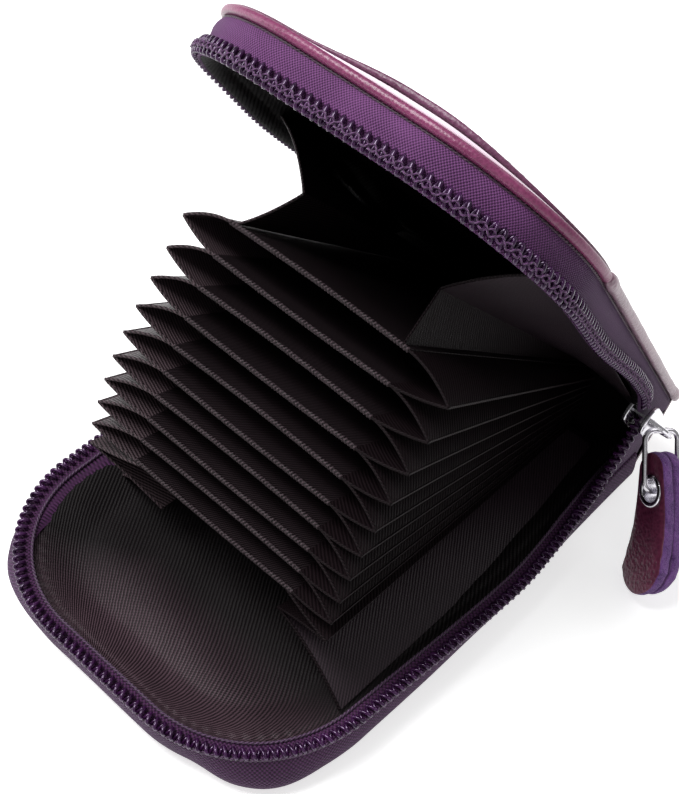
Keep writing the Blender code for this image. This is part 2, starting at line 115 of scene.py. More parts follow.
class Net:
    """A material's or world's nodes, and short calls for them. UVs are in metres along and across each
    piece."""

    def __init__(self, name, owner=None, **values):
        """values are sockets of the shader, with _ for a space."""
        self.material = owner or bpy.data.materials.new(name)
        self.material.use_nodes = True
        self.tree = self.material.node_tree
        if owner:
            return
        self.shader = self.tree.nodes["Principled BSDF"].inputs
        self.coords = self.tree.nodes.new("ShaderNodeTexCoord").outputs
        for key, value in {"Sheen_Roughness": 0.4, "Coat_Roughness": 0.3, **values}.items():
            self.shader[key.replace("_", " ")].default_value = value

    def wire(self, value, socket):
        if hasattr(value, "is_output"):
            self.tree.links.new(value, socket)
        else:
            socket.default_value = value

    def node(self, kind, out=0, **values):
        made = self.tree.nodes.new(kind)
        for key, value in values.items():
            self.wire(value, made.inputs[key])
        return made.outputs[out]

    def math(self, operation, *values, clamp=False, kind="ShaderNodeMath"):
        made = self.tree.nodes.new(kind)
        made.operation = operation
        if clamp:
            made.use_clamp = True
        for socket, value in zip(made.inputs, values):
            self.wire(value, socket)
        return made.outputs[0]

    def madd(self, value, by, plus, clamp=False):
            return self.math("MULTIPLY_ADD", value, by, plus, clamp=clamp)

    def part(self, kind, axis):
        """One number of the place on the object or of the UV."""
        return self.node("ShaderNodeSeparateXYZ", axis, Vector=self.coords[kind])

    def across(self, axis, start, end):
        """A climb from 0 to 1 between two places on an axis, in metres."""
        slope = 1 / (end - start)
        return self.madd(self.part("Object", axis), slope, -start * slope, clamp=True)

    def ribs(self, along, pitch):
        """A wave from 0 to 1, with a pitch in metres."""
        turned = self.madd(along, TAU / pitch, 0.0)
        return self.madd(self.math("SINE", turned), 0.5, 0.5)

    def slanted(self, angle):
        """Distance across ribs that run at an angle from U."""
        angle = radians(angle)
        first = self.math("MULTIPLY", self.part("UV", 0), -sin(angle))
        return self.madd(self.part("UV", 1), cos(angle), first)

    def noise(self, scale, detail=2.0, rough=0.5, stretch=None, lumps=0.0):
        vector = self.coords["Object"]
        if stretch:
            vector = self.math("MULTIPLY", vector, stretch, kind="ShaderNodeVectorMath")
        return self.node("ShaderNodeTexNoise", Vector=vector, Scale=scale, Detail=detail, Roughness=rough,
            Distortion=lumps)

    def ramp(self, factor, start, dark, end, light):
        """From a dark colour to a light one, both sRGB."""
        made = self.tree.nodes.new("ShaderNodeValToRGB")
        for element, place, colour in zip(made.color_ramp.elements, (start, end), (dark, light)):
            element.position = place
            element.color = linear(*colour)
        self.wire(factor, made.inputs[0])
        return made.outputs[0]

    def mix(self, factor, under, over):
        made = self.tree.nodes.new("ShaderNodeMix")
        made.data_type = "RGBA"
        for socket, value in ((0, factor), (6, under), (7, over)):
            self.wire(value, made.inputs[socket])
        return made.outputs[2]

    def finish(self, colour, roughness, *bumps):
        """Links colour, roughness and a chain of (height, distance in metres) bumps."""
        self.wire(colour, self.shader["Base Color"])
        self.wire(roughness, self.shader["Roughness"])
        normal = {}
        for height, distance in bumps:
            bump = self.node("ShaderNodeBump", Height=height, Distance=distance, Strength=1.0, **normal)
            normal = {"Normal": bump}
        self.tree.links.new(bump, self.shader["Normal"])
        return self.material


def leather(name, dark, light, grain=1500.0, roughness=0.42, depth=0.00010):
    """Smooth leather with a fine pebble grain, faint pull-up and paler, worn high places."""
    net = Net(name, Coat_Weight=0.12, Coat_Roughness=0.35)
    pebble = net.node("ShaderNodeTexVoronoi", Vector=net.coords["Object"], Scale=grain)
    fine = net.noise(grain * 2.2, 3.0)
    broad = net.noise(60.0, 4.0, 0.6)
    shade = net.madd(pebble, 0.35, net.math("MULTIPLY", broad, 0.75))
    rough = net.madd(broad, 0.18, roughness - 0.09)
    return net.finish(net.ramp(shade, 0.25, dark, 0.78, light), rough, (pebble, depth), (fine, depth * 0.35))


def ribbed_cloth(name, dark, light, pitch, angle, roughness, depth, contrast=(0.15, 0.85), spots=0.35,
        specular=0.15, sheen=0.0, painted_shade=0.0):
    """Cloth with fine raised ribs at an angle from U, and threads across them. Its last argument mixes
    in painted shade: darker towards the back, under the accordion, and towards the left."""
    net = Net(name, Sheen_Weight=sheen, Specular_IOR_Level=specular)
    wobble = net.noise(900.0)
    rib = net.ribs(net.madd(wobble, pitch * 0.35, net.slanted(angle)), pitch)
    thread = net.ribs(net.slanted(angle + 90), pitch * 0.8)
    broad = net.noise(90.0, 3.0, 0.6)
    height = net.madd(thread, 0.22, net.math("MULTIPLY", rib, 0.78))
    level = net.madd(broad, spots, net.math("MULTIPLY", height, 1 - spots * 0.5))
    colour = net.ramp(level, contrast[0], dark, contrast[1], light)
    rough = net.madd(rib, -0.12, roughness + 0.06)
    # Painted shade: towards the back under the accordion and on the left, the colour mixes towards near-black
    # and the cloth turns rougher.
    if painted_shade:
        inward = net.across(1, -0.0464, -0.0282)
        both = net.madd(net.across(0, -0.0125, -0.029), 0.6, inward, clamp=True)
        soft = net.math("SMOOTH_MIN", net.math("MULTIPLY", both, painted_shade), painted_shade, 0.2)
        colour = net.mix(soft, colour, linear(5, 3, 4))
        rough = net.madd(soft, 0.3, rough)
    return net.finish(colour, rough, (height, depth))


def woven_tape(name, dark, light, pitch, depth, painted_shade=0.0):
    """Zip tape: a basket weave of short floats. Its last argument mixes painted shade into the straight
    sides.
    """
    net = Net(name, Sheen_Weight=0.1, Sheen_Tint=(0.8, 0.6, 1.0, 1), Specular_IOR_Level=0.2)
    cord = net.ribs(net.madd(net.noise(1200.0), pitch * 0.25, net.part("UV", 0)), pitch)
    floats = net.ribs(net.part("UV", 1), pitch * 1.15)
    weave = net.math("MULTIPLY", net.math("SUBTRACT", cord, 0.5), net.math("SUBTRACT", floats, 0.5))
    height = net.madd(weave, 2.0, 0.5)
    level = net.madd(net.noise(120.0, 3.0), 0.35, net.math("MULTIPLY", height, 0.75))
    colour = net.ramp(level, 0.2, dark, 0.82, light)
    # Painted shade: the straight sides of the tape are mixed towards a dark purple.
    if painted_shade:
        sides = net.math("ADD", net.across(0, 0.027, 0.0365), net.across(0, -0.027, -0.0365))
        colour = net.mix(net.math("MULTIPLY", sides, painted_shade), colour, linear(20, 6, 26))
    return net.finish(colour, 0.7, (height, depth))


def thread_paint(name, dark, light):
    net = Net(name, Sheen_Weight=0.2)
    ply = net.ribs(net.slanted(35), 0.0005)
    return net.finish(net.ramp(ply, 0.1, dark, 0.9, light), 0.6, (ply, 0.00005))


plum = leather("plum_leather", (74, 26, 58), (118, 56, 94))
plum_edge = leather("plum_edge_leather", (92, 26, 64), (140, 62, 104), grain=2200.0, roughness=0.36,
    depth=0.00005)
spine_plum = leather("spine_leather_skin", (58, 18, 44), (98, 42, 76))
# Plum leather painted paler: a painted sheen for glancing light on the lid's side edges.
painted_sheen_hide = leather("plum_leather_painted_sheen", (100, 66, 84), (158, 124, 140), roughness=0.36)
panel_plum = leather("pocket_leather", (78, 34, 62), (118, 66, 98))
tab_burgundy = leather("burgundy_leather_skin", (66, 18, 43), (124, 56, 84), roughness=0.34)
# The lid's tape has painted shade along its straight sides.
tape_paint = woven_tape("tape_corded", (42, 14, 46), (120, 72, 124), 0.00052, 0.00010, painted_shade=0.6)
tape_basket = woven_tape("tape_basket", (24, 7, 26), (78, 42, 80), 0.00078, 0.00014)
tape_edge = thread_paint("tape_edge_thread", (38, 18, 40), (84, 54, 88))
stitch_paint = thread_paint("purple_stitch_thread", (50, 20, 56), (98, 56, 104))
lining_stitch = thread_paint("dark_lining_thread", (12, 8, 10), (58, 48, 53))
dark_stitch = thread_paint("dark_stitch_thread", (30, 10, 28), (68, 34, 62))
# The tray lining carries painted shade under the accordion and along its left side.
lining = ribbed_cloth("lining_ribbed", (9, 5, 7), (90, 70, 79), 0.00064, 59, 0.38, 0.00012,
    contrast=(0.2, 1.05), spots=0.3, specular=0.2, painted_shade=0.97)
# A near-black copy of the lining cloth: partly the cloth's own dark colour, partly painted shade for the
# lid's inside and the spine.
shaded_lining = ribbed_cloth("lining_ribbed_shaded", (2, 1, 1), (9, 6, 7), 0.00072, 59, 0.7, 0.00006,
    specular=0.04)
# Copies of the one gusset cloth: the right side's is darker, painted shade; the right's panels and the left
# side are lighter, painted light where they face the lamps.
right_cloth_shaded = ribbed_cloth("right_cloth_ribbed_shaded", (4, 2, 3), (30, 22, 25), 0.00055, 52, 0.5, 0.00008,
    contrast=(0.05, 1.0), spots=0.25, specular=0.06)
panel_cloth_lit = ribbed_cloth("panel_cloth_ribbed_lit", (7, 4, 6), (56, 45, 52), 0.00055, 52, 0.40, 0.00008,
    contrast=(0.05, 1.0), spots=0.4, specular=0.2)
left_cloth_lit = ribbed_cloth("left_cloth_ribbed_lit", (7, 4, 5), (86, 72, 77), 0.00055, -35, 0.42, 0.00009,
    contrast=(0.15, 1.0), spots=0.2)
divider_paint = ribbed_cloth("divider_cloth_ribbed", (4, 3, 3), (46, 37, 41), 0.00045, -70, 0.5, 0.00009,
    contrast=(0.3, 1.0), spots=0.2, specular=0.1)
rim_paint = ribbed_cloth("rim_twill", (8, 5, 6), (74, 62, 67), 0.0006, 62, 0.5, 0.00010,
    contrast=(0.25, 1.0), spots=0.25)
pink_cloth = ribbed_cloth("pocket_lining_cloth", (222, 196, 214), (255, 238, 248), 0.0002, 85, 0.6, 0.00001,
    sheen=0.3)

net = Net("violet_suede_nap", Sheen_Weight=0.5, Sheen_Tint=(0.8, 0.7, 1.0, 1), Specular_IOR_Level=0.2)
nap = net.noise(1500.0, 5.0, 0.75, lumps=0.8)
level = net.madd(nap, 0.75, net.math("MULTIPLY", net.noise(420.0, 3.0), 0.4))
violet = net.finish(net.ramp(level, 0.36, (58, 22, 84), 0.74, (150, 98, 176)), 0.9, (nap, 0.0006))

net = Net("nylon_loops", Coat_Weight=0.22, Coat_Roughness=0.16, Specular_Tint=(0.9, 0.72, 1.0, 1),
    Coat_Tint=(0.9, 0.75, 1.0, 1))
broad = net.noise(400.0)
coil_paint = net.finish(net.ramp(broad, 0.3, (26, 7, 30), 0.75, (64, 26, 70)), net.madd(broad, 0.15, 0.15),
    (net.noise(3000.0), 0.00002))

net = Net("chrome_plate", Metallic=1.0)
haze = net.noise(500.0, 4.0, 0.7)
scratch = net.noise(900.0, stretch=(1.0, 9.0, 1.0))
chrome = net.finish(net.ramp(haze, 0.2, (196, 194, 200), 0.8, (232, 230, 236)), net.madd(haze, 0.16, 0.12),
    (scratch, 0.00001))

net = Net("black_board_pulp")
fibre = net.noise(1400.0, 4.0, 0.7)
board_paint = net.finish(net.ramp(fibre, 0.3, (24, 21, 22), 0.7, (40, 36, 37)), 0.9, (fibre, 0.00005))


# ---- places

def eased(t):
    t = np.clip(t, 0, 1)
    return t * t * (3 - 2 * t)


def xyz(*parts):
    """Points from arrays of x, y and z that fit each other."""
    return np.stack(np.broadcast_arrays(*parts), axis=-1).astype(float)


def arc(centre, radius, start, end, count, tall=None):
    """Points on an arc, with its angles in half turns. tall is its radius the other way, if it differs."""
    tall = radius if tall is None else tall
    return [(centre[0] + radius * cos(angle), centre[1] + tall * sin(angle))
        for angle in linspace(start * pi, end * pi, count)]


def between(a, b, count):
    """The points inside a straight line of count points."""
    return [(a[0] + (b[0] - a[0]) * t, a[1] + (b[1] - a[1]) * t) for t in linspace(0, 1, count)[1:-1]]


def opened(points, axis, angle):
    made = np.array(points, dtype=float)
    dy = made[..., 1] - axis[0]
    dz = made[..., 2] - axis[1]
    made[..., 1] = axis[0] + dy * cos(angle) + dz * sin(angle)
    made[..., 2] = axis[1] - dy * sin(angle) + dz * cos(angle)
    return made


def on_spine(points):
    return opened(points, SPINE_AXIS, LEAN)


def on_lid(points):
    return on_spine(opened(points, LID_AXIS, TURN))


def inset_of(x, y):
    """How far a point lies inside the covers' sides and front."""
    x = np.abs(x)
    far = RADIUS - np.hypot(x - SIDE, LOW - y)
    return np.where((x > SIDE) & (y < LOW), far, np.minimum(HALF - x, y - FRONT))


def half_width(inset, y):
    """Half the width of the outline at an inset, at a given y."""
    radius = RADIUS - inset
    return SIDE + np.sqrt(np.maximum(radius ** 2 - np.clip(LOW - y, 0, radius) ** 2, 0))


def outward_of(x, y):
    """The way out from a point to the covers' outline."""
    dx = np.where(y < LOW, np.sign(x) * np.clip(np.abs(x) - SIDE, 0, None), np.sign(x))
    dy = np.where(y < LOW, y - LOW, 0.0)
    length = np.maximum(np.hypot(dx, dy), 1e-6)
    return dx / length, dy / length


def bowed(points):
    """How the soft lower half stands: its right side spreads near the spine, its front leans out over
    its foot on the left and bulges at the right corner."""
    made = np.array(points, dtype=float)
    x, y, z = np.moveaxis(made, -1, 0).copy()
    out_x, out_y = outward_of(x, y)
    near = 1 - eased((inset_of(x, y) - 1.0) / 11)
    spread = eased((y + 50) / 66) * (1 - eased((y - 9) / 38)) * eased(x / 30)
    top = np.clip(z / 9.0, 0, 1.1)
    foot = np.clip(1 - z / 9.0, 0, 1)
    lean = eased((x + 28) / 14) * eased((28 - x) / 8) * eased((-38 - y) / 10)
    corner = np.exp(-((x - 32) ** 2 + (y + 45) ** 2) / 8 ** 2)
    middle = np.sin(pi * np.clip((y + 50) / 80, 0, 1)) ** 1.5 * np.clip(-x / 30, 0, 1)
    belly = np.exp(-((x + 31) ** 2 + (y + 49) ** 2) / 9 ** 2) * np.sin(pi * np.clip(z / 9.6, 0, 1))
    push = 3.0 * spread * top - 2.0 * lean * foot + 2.0 * corner * np.clip(1.15 - z / 9.0, 0, 1)
    push = push + 0.45 * middle + 1.6 * belly
    made[..., 0] += out_x * push * near
    made[..., 1] += out_y * push * near
    made[..., 2] -= 0.7 * spread * np.clip(top, 0, 1) ** 2 * near
    return made


def on_zip(points):
    """The lid's zip climbs towards the leather on its way to the spine, and comes back at the slider."""
    made = np.array(points, dtype=float)
    y = made[..., 1]
    climb = 2.2 * eased((y + 15) / 38) * (1 - eased((y - 29) / 12))
    inner = 1 - eased((inset_of(made[..., 0], y) - 1.5) / 5)
    made[..., 2] += climb * inner * np.clip((17.6 - made[..., 2]) / 4.5, 0, 1)
    return on_lid(made)


def ripples(x, y, size, seed):
    """Slow, soft unevenness."""
    rng = np.random.default_rng(seed)
    made = np.zeros(np.broadcast(x, y).shape)
    for _ in range(7):
        angle = rng.uniform(0, TAU)
        pitch = rng.uniform(9, 34)
        along = x * cos(angle) + y * sin(angle)
        made = made + sqrt(pitch / 34) * np.sin(TAU * along / pitch + rng.uniform(0, TAU))
    return made * size / 3


# ---- lines

def lengths(points):
    steps = norm(np.diff(points, axis=0), axis=-1)
    return np.concatenate([[0], np.cumsum(steps)])


def even(length, step):
    return linspace(0, length, max(2, int(round(length / step)) + 1))


def turns_of(count):
    return linspace(0, TAU, count, endpoint=False)


def unit(vectors):
    return vectors / norm(vectors, axis=-1, keepdims=True)


def read_at(at, along, columns):
    """The columns of a line's points, read at new lengths along it."""
    return np.stack([np.interp(at, along, column) for column in np.transpose(columns)], axis=-1)


def resampled(points, step):
    along = lengths(points)
    return read_at(even(along[-1], step), along, points)


def smooth_line(points, step):
    """A Catmull-Rom line through points, in even steps."""
    points = np.asarray(points, dtype=float)
    padded = np.concatenate([[2 * points[0] - points[1]], points, [2 * points[-1] - points[-2]]])
    made = []
    for a, b, c, d in zip(padded, padded[1:], padded[2:], padded[3:]):
        for t in linspace(0, 1, 12, endpoint=False):
            made.append(0.5 * (2 * b + (c - a) * t + (2 * a - 5 * b + 4 * c - d) * t * t
                + (3 * b - a - 3 * c + d) * t ** 3))
    made.append(points[-1])
    return resampled(np.array(made), step)


def frames(points, up, closed=False):
    """Unit tangents, sides and ups along a line. up is one direction, or one for each point."""
    if closed:
        tangent = np.roll(points, -1, axis=0) - np.roll(points, 1, axis=0)
    else:
        tangent = np.gradient(points, axis=0)
    tangent = unit(tangent)
    side = unit(np.cross(tangent, np.broadcast_to(np.asarray(up, dtype=float), points.shape)))
    return side, np.cross(side, tangent)


def u_path(inset, back_right, back_left, step):
    """The covers' outline from the right back corner round the front, with outward directions."""
    centres = []
    angles = []
    for x0, x1, y0, y1, a0, a1, count in (
            (SIDE, SIDE, back_right, LOW, 0, 0, 60), (SIDE, SIDE, LOW, LOW, 0, -0.5, 60),
            (SIDE, -SIDE, LOW, LOW, -0.5, -0.5, 24), (-SIDE, -SIDE, LOW, LOW, -0.5, -1, 60),
            (-SIDE, -SIDE, LOW, back_left, -1, -1, 59)):
        t = linspace(0, 1, count, endpoint=False)
        centres.append(np.column_stack([x0 + (x1 - x0) * t, y0 + (y1 - y0) * t]))
        angles.append((a0 + (a1 - a0) * t) * pi)
    angles = np.append(np.concatenate(angles), -pi)
    outward = np.column_stack([np.cos(angles), np.sin(angles)])
    points = np.concatenate([*centres, [(-SIDE, back_left)]]) + (RADIUS - inset) * outward
    along = lengths(points)
    at = even(along[-1], step)
    return read_at(at, along, points), unit(read_at(at, along, outward)), at


def swept(points, outward, *profile):
    """Rows of points from a profile of (outward, z), each one number, or one for each place along."""
    return np.stack([np.column_stack([points + outward * np.reshape(o, (-1, 1)),
        np.broadcast_to(z, len(points))]) for o, z in profile], axis=1)


def filled(points, step):
    """A closed ring with more points along its straight sides, for bumps and folds to use."""
    made = []
    for a, b in zip(points, np.roll(points, -1, axis=0)):
        count = max(1, int(norm(b - a) / step))
        made += [a + (b - a) * k / count for k in range(count)]
    return np.array(made)


def cover_ring(inset, trim=0.0):
    """The covers' outline as a closed ring, the same number of points at any inset."""
    side = inset + trim
    radius = max(RADIUS - side, 0.05)
    corner = max(3.0 - side, 0.05)
    half = HALF - side - corner
    back = BACK - inset - corner
    return filled(np.array(arc((half, back), corner, 0.5, 0, 6)
        + arc((HALF - side - radius, FRONT + side + radius), radius, 0, -0.5, 20)
        + arc((radius + side - HALF, FRONT + side + radius), radius, -0.5, -1, 20)
        + arc((-half, back), corner, -1, -1.5, 6)), 2.5)


# ---- meshes

def mesh_piece(name, points, faces, paint, uvs, sharp=None):
    """An object of points in mm, with a UV in mm for each point."""
    mesh = bpy.data.meshes.new(name)
    mesh.from_pydata([tuple(p) for p in np.reshape(points, (-1, 3)) * MM], [], faces)
    layer = mesh.uv_layers.new(name="UVMap")
    corners = np.empty(len(mesh.loops), dtype=np.int64)
    mesh.loops.foreach_get("vertex_index", corners)
    layer.data.foreach_set("uv", (uvs[corners] * MM).ravel())
    mesh.materials.append(paint)
    mesh.validate()
    work = bmesh.new()
    work.from_mesh(mesh)
    if all(edge.is_manifold for edge in work.edges):
        bmesh.ops.recalc_face_normals(work, faces=work.faces)
        work.to_mesh(mesh)
    work.free()
    mesh.polygons.foreach_set("use_smooth", [True] * len(mesh.polygons))
    mesh.update()
    made = placed(name, mesh)
    if sharp is not None:
        mesh.set_sharp_from_angle(angle=radians(sharp))
    return made


def dress(obj, body, node=None):
    """A piece on its body, with the imported node that it stands for hidden."""
    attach(obj, body)
    if node:
        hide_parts(node)
    return obj


def grid_faces(rows, columns, wrap_rows=False, wrap_columns=False, start=0, flip=False):
    made = []
    for i in range(rows if wrap_rows else rows - 1):
        for j in range(columns if wrap_columns else columns - 1):
            a = start + i * columns
            c = start + ((i + 1) % rows) * columns
            after = (j + 1) % columns
            face = (a + j, a + after, c + after, c + j)
            made.append((face[0], *face[:0:-1]) if flip else face)
    return made


def tube_faces(rows, columns, start=0):
    """The faces of a tube with both ends closed."""
    end = start + (rows - 1) * columns
    return grid_faces(rows, columns, False, True, start) + [tuple(range(start, start + columns)),
        tuple(range(end, end + columns))]


def grid_uvs(across, along, swap=False):
    u, v = np.meshgrid(across, along)
    return np.stack([v, u] if swap else [u, v], axis=-1).reshape(-1, 2)


def sheet_uvs(points, swap):
    rows, columns = points.shape[:2]
    return grid_uvs(lengths(points[rows // 2]), lengths(points[:, columns // 2]), swap)


def grid_piece(name, points, paint, wrap_columns=False, flip=False, swap_uv=False):
    """A sheet from an array of rows and columns of points, or a tube with caps where its columns wrap."""
    rows, columns = points.shape[:2]
    faces = tube_faces(rows, columns) if wrap_columns else grid_faces(rows, columns, flip=flip)
    return mesh_piece(name, points, faces, paint, sheet_uvs(points, swap_uv))


def thick_sheet(name, front, back, paint, swap_uv=False):
    """A closed sheet between two arrays of points of the same size."""
    rows, columns = front.shape[:2]
    count = rows * columns
    faces = grid_faces(rows, columns) + grid_faces(rows, columns, start=count, flip=True)
    rim = [*range(columns), *(i * columns + columns - 1 for i in range(1, rows)),
        *((rows - 1) * columns + j for j in range(columns - 2, -1, -1)),
        *(i * columns for i in range(rows - 2, 0, -1))]
    faces += [(b, a, count + a, count + b) for a, b in zip(rim, rim[1:] + rim[:1])]
    uvs = sheet_uvs(front, swap_uv)
    return mesh_piece(name, np.concatenate([front, back]), faces, paint, np.concatenate([uvs, uvs]), sharp=50)


def tube(points, side, over, size, turns, flat=1.0):
    """Rings of points round a line."""
    turns = turns[None, :, None]
    around = side[:, None] * np.cos(turns) + over[:, None] * flat * np.sin(turns)
    return points[:, None] + size[..., None] * around


def rod(name, points, radius, paint, up=(0, 0, 1), turn=None, sides=8, flat=1.0, closed=False, ribs=0.0,
        pitch=1.0, lean=0.0):
    """A cord along points, flattened and ribbed if asked. turn opens both the line and up."""
    if turn:
        points, up = turn(points), turn(points + up) - turn(points)
    side, over = frames(points, up, closed)
    along = lengths(points)
    turns = turns_of(sides)
    size = radius * np.ones((len(points), sides))
    if ribs:
        size = size * (1 + ribs * np.sin(TAU * along[:, None] / pitch + lean * np.sin(turns)))
    faces = grid_faces(len(points), sides, True, True) if closed else tube_faces(len(points), sides)
    return mesh_piece(name, tube(points, side, over, size, turns, flat), faces, paint,
        grid_uvs(turns * radius, along, swap=True))


def stitches(name, line, length, gap, radius, paint, turn):
    """A run of single stitches along a line, each dipping into the cloth at its ends."""
    line = resampled(line, 0.05)
    along = lengths(line)
    rings, sides = 7, 6
    reach = np.abs(linspace(-1, 1, rings))
    turns = turns_of(sides)
    points = []
    faces = []
    uvs = []
    for k in range(int(along[-1] / (length + gap))):
        at = linspace(0, 1, rings) * length + k * (length + gap)
        spots = read_at(at, along, line)
        spots[:, 2] += radius * (1 - 1.2 * reach ** 2.5)
        size = radius * (1 - 0.45 * reach ** 3)
        points.append(tube(spots, *frames(spots, (0, 0, 1)), size[:, None], turns).reshape(-1, 3))
        faces += tube_faces(rings, sides, k * rings * sides)
        uvs.append(grid_uvs(turns * radius, at, swap=True))
    return mesh_piece(name, turn(np.concatenate(points)), faces, paint, np.concatenate(uvs))


def rounded(radius, count):
    """(inset, rise) of a rounded edge that starts at the side face."""
    return [(radius * (1 - sin(angle)), radius * (1 - cos(angle))) for angle in linspace(0, pi / 2, count)]


def plate(name, ring, low, high, rounding, paint, turn, rings=()):
    """A leather or board plate: ring(inset) gives its outline, and rings adds (inset, rise) steps to
    the face on top, such as a seam's groove."""
    base = ring(0)
    count = len(base)
    share = lengths(np.concatenate([base, base[:1]]))
    share = share[:-1] / share[-1]

    def level(inset, z):
        closed = np.concatenate([ring(inset), ring(inset)[:1]])
        along = lengths(closed)
        return np.column_stack([read_at(share * along[-1], along, closed), np.full(count, float(z))])

    levels = [level(inset, low + rise) for inset, rise in rounded(rounding, 5)]
    levels += [level(rise, high - inset) for inset, rise in rounded(rounding, 5)]
    levels += [level(inset, high + rise) for inset, rise in rings]
    # The face on top narrows towards its middle line in steps, so that it can be bent later.
    edge = levels[-1]
    middle = edge * (0, 1, 1)
    middle[:, 1] = np.clip(edge[:, 1], edge[:, 1].min() + 16, edge[:, 1].max() - 16)
    levels += [edge + (middle - edge) * t for t in (0.15, 0.3, 0.45, 0.6, 0.75, 0.9, 0.98)]
    flat = np.array(levels).reshape(-1, 3)
    uvs = np.column_stack([flat[:, 0], flat[:, 1] + flat[:, 2]])
    return mesh_piece(name, turn(flat), tube_faces(len(levels), count), paint, uvs)


def area_of(rows):
    """The area of a grid of points, in square metres."""
    first = rows[1:, 1:] - rows[:-1, :-1]
    second = rows[1:, :-1] - rows[:-1, 1:]
    return float(norm(np.cross(first, second), axis=-1).sum() / 2) * MM * MM


def coil(name, inset, back_right, centre, size, wire, phase, turn):
    """One half of the zip: a flattened spiral of nylon. size is (outward, z)."""
    points, outward, along = u_path(inset, back_right, 47.0, COIL_PITCH / 16)
    angle = TAU * along / COIL_PITCH + phase
    line = swept(points, outward, (size[0] * np.cos(angle), centre + size[1] * np.sin(angle)))[:, 0]
    up = np.column_stack([outward * np.cos(angle)[:, None] * size[1], np.sin(angle) * size[0]])
    return rod(name, line, wire, coil_paint, up=up, turn=turn, sides=6)


def edge_cord(name, inset, z, radius, paint, back_right, back_left, turn):
    points, outward, along = u_path(inset, back_right, back_left, 0.16)
    return rod(name, swept(points, outward, (0, z))[:, 0], radius, paint, turn=turn, sides=7, ribs=0.16,
        pitch=0.8, lean=1.4)


def dish(name, paint, edge_inset, edge_z, floor_z, drop, seed, turn, up, back):
    """A lining that lies over the board and climbs the walls to the zip, with a sewn seam line."""
    ys = np.concatenate([linspace(back, -38, 90, endpoint=False), linspace(-38, FRONT + edge_inset, 62)])
    t = linspace(-1, 1, 151)
    t = np.sign(t) * (1 - (1 - np.abs(t)) ** 1.35)
    y, t = np.meshgrid(ys, t, indexing="ij")
    x = t * half_width(edge_inset, y)
    inset = inset_of(x, y) - edge_inset
    seam = inset + edge_inset - 4.5
    z = edge_z + (floor_z - edge_z) * eased(inset / drop)
    z = z + up * ripples(x, y, 0.22, seed) * eased(inset / 3)
    z = z - up * 0.30 * np.exp(-(seam / 0.42) ** 2)
    around = np.arctan2(y - LOW, x) * 38
    z = z + up * 0.10 * np.exp(-(seam / 1.5) ** 2) * np.sin(TAU * around / 2.6 + 1.7 * np.sin(around / 7.0))
    # Two long, soft folds run across the cloth.
    for fold, height, width in ((y + 37 + 0.12 * (x + 5), 1.5, 6.5), (y + 12 - 0.5 * (x + 5), 0.8, 7.0)):
        z = z + up * height * np.exp(-(fold / width) ** 2) * eased(inset / 9)
    rows = turn(xyz(x, y, z))
    made = grid_piece(name, rows, paint, flip=up > 0)
    area_of(rows)
    return made


# ---- lower half

dress(plate("lower_cover_leather", lambda inset: cover_ring(inset, 1.3), 0.0, 1.6, 0.7, plum, bowed),
    "lower_half", "lower_cover")
dress(dish("lower_tray_lining", lining, 2.3, 9.15, 3.9, 10.5, 3, bowed, 1, 53.2),
    "lower_half", "lower_lining")

points, outward, along = u_path(0, 51.5, 51.5, 0.9)
bulge = 0.35 + 0.45 * np.exp(-((along - 0.30 * along[-1]) / 24) ** 2)
bulge = bulge + 0.10 * np.sin(along / 6.1) * np.sin(along / 17.3 + 1)
# On the left the tape shows a wider band inside the zip.
band = 4.4 * np.where(points[:, 0] < 0, eased((points[:, 1] + 49) / 16), 0.0)
wall = swept(points, outward, (-1.5, 0.9), (-1.0, 1.3), (-0.45 + 0.4 * bulge, 2.2),
    (-0.25 + 0.9 * bulge, 3.6), (-0.2 + 1.05 * bulge, 5.0), (-0.25 + 0.9 * bulge, 6.6),
    (-0.3 + 0.5 * bulge, 8.0), (-0.35 + 0.2 * bulge, 9.0), (-0.42, 9.45), (-0.75, 9.62), (-1.6, 9.55),
    (-2.5, 9.5), (-3.1 - 0.4 * band, 9.42 - 0.16 * band), (-3.3 - 0.7 * band, 9.3 - 0.38 * band),
    (-3.35 - band, 9.2 - 0.55 * band))
dress(grid_piece("lower_tape_wall", bowed(wall), tape_basket, swap_uv=True), "lower_half",
    "lower_zip_tape")
dress(coil("lower_coil_loops", 0.9, 31.0, 10.15, (0.86, 0.42), 0.34, 0.0, bowed), "lower_half",
    "lower_zip_coil")
dress(edge_cord("lower_tape_inner_edge", 3.15, 9.62, 0.27, tape_edge, 48.0, 48.0, bowed),
    "lower_half")
dress(edge_cord("lower_tape_outer_edge", 0.28, 9.42, 0.25, tape_edge, 40.0, 48.0, bowed),
    "lower_half")
points, outward, along = u_path(4.5, 44.0, 44.0, 0.5)
dress(stitches("lower_lining_stitches", swept(points, outward, (0, 7.45))[:, 0], 1.3, 1.2, 0.10,
    lining_stitch, bowed), "lower_half")


# ---- lid

dress(plate("lid_leather", cover_ring, 18.0, 19.6, 0.72, plum_edge, on_lid, ((1.6, 0.05), (3.0, 0.0))),
    "lid", "upper_cover")


def pocket_outline(inset, front):
    """The outside pocket: flush round the front, stepped in beside its sewn sides."""
    half = HALF - 0.9 - inset
    waist = half - 3.6
    front = FRONT + front + inset
    radius = RADIUS - (front - FRONT)
    corner = max(4.0 - inset, 0.05)
    back = 40.0 - inset
    step = -27.0
    points = arc((waist - corner, back - corner), corner, 0.5, 0, 7)
    points += between((waist, back - corner), (waist, step + 3.6), 9)
    points += [(waist + 3.6 * eased(t), step + 3.6 * (1 - t)) for t in linspace(0, 1, 7)]
    points += arc((half - radius, front + radius), radius, 0, -0.5, 26)
    points += between((half - radius, front), (0, front), 9) + [(0, front)]
    points = np.array(points)
    return np.concatenate([points, points[::-1][1:] * (-1, 1)])


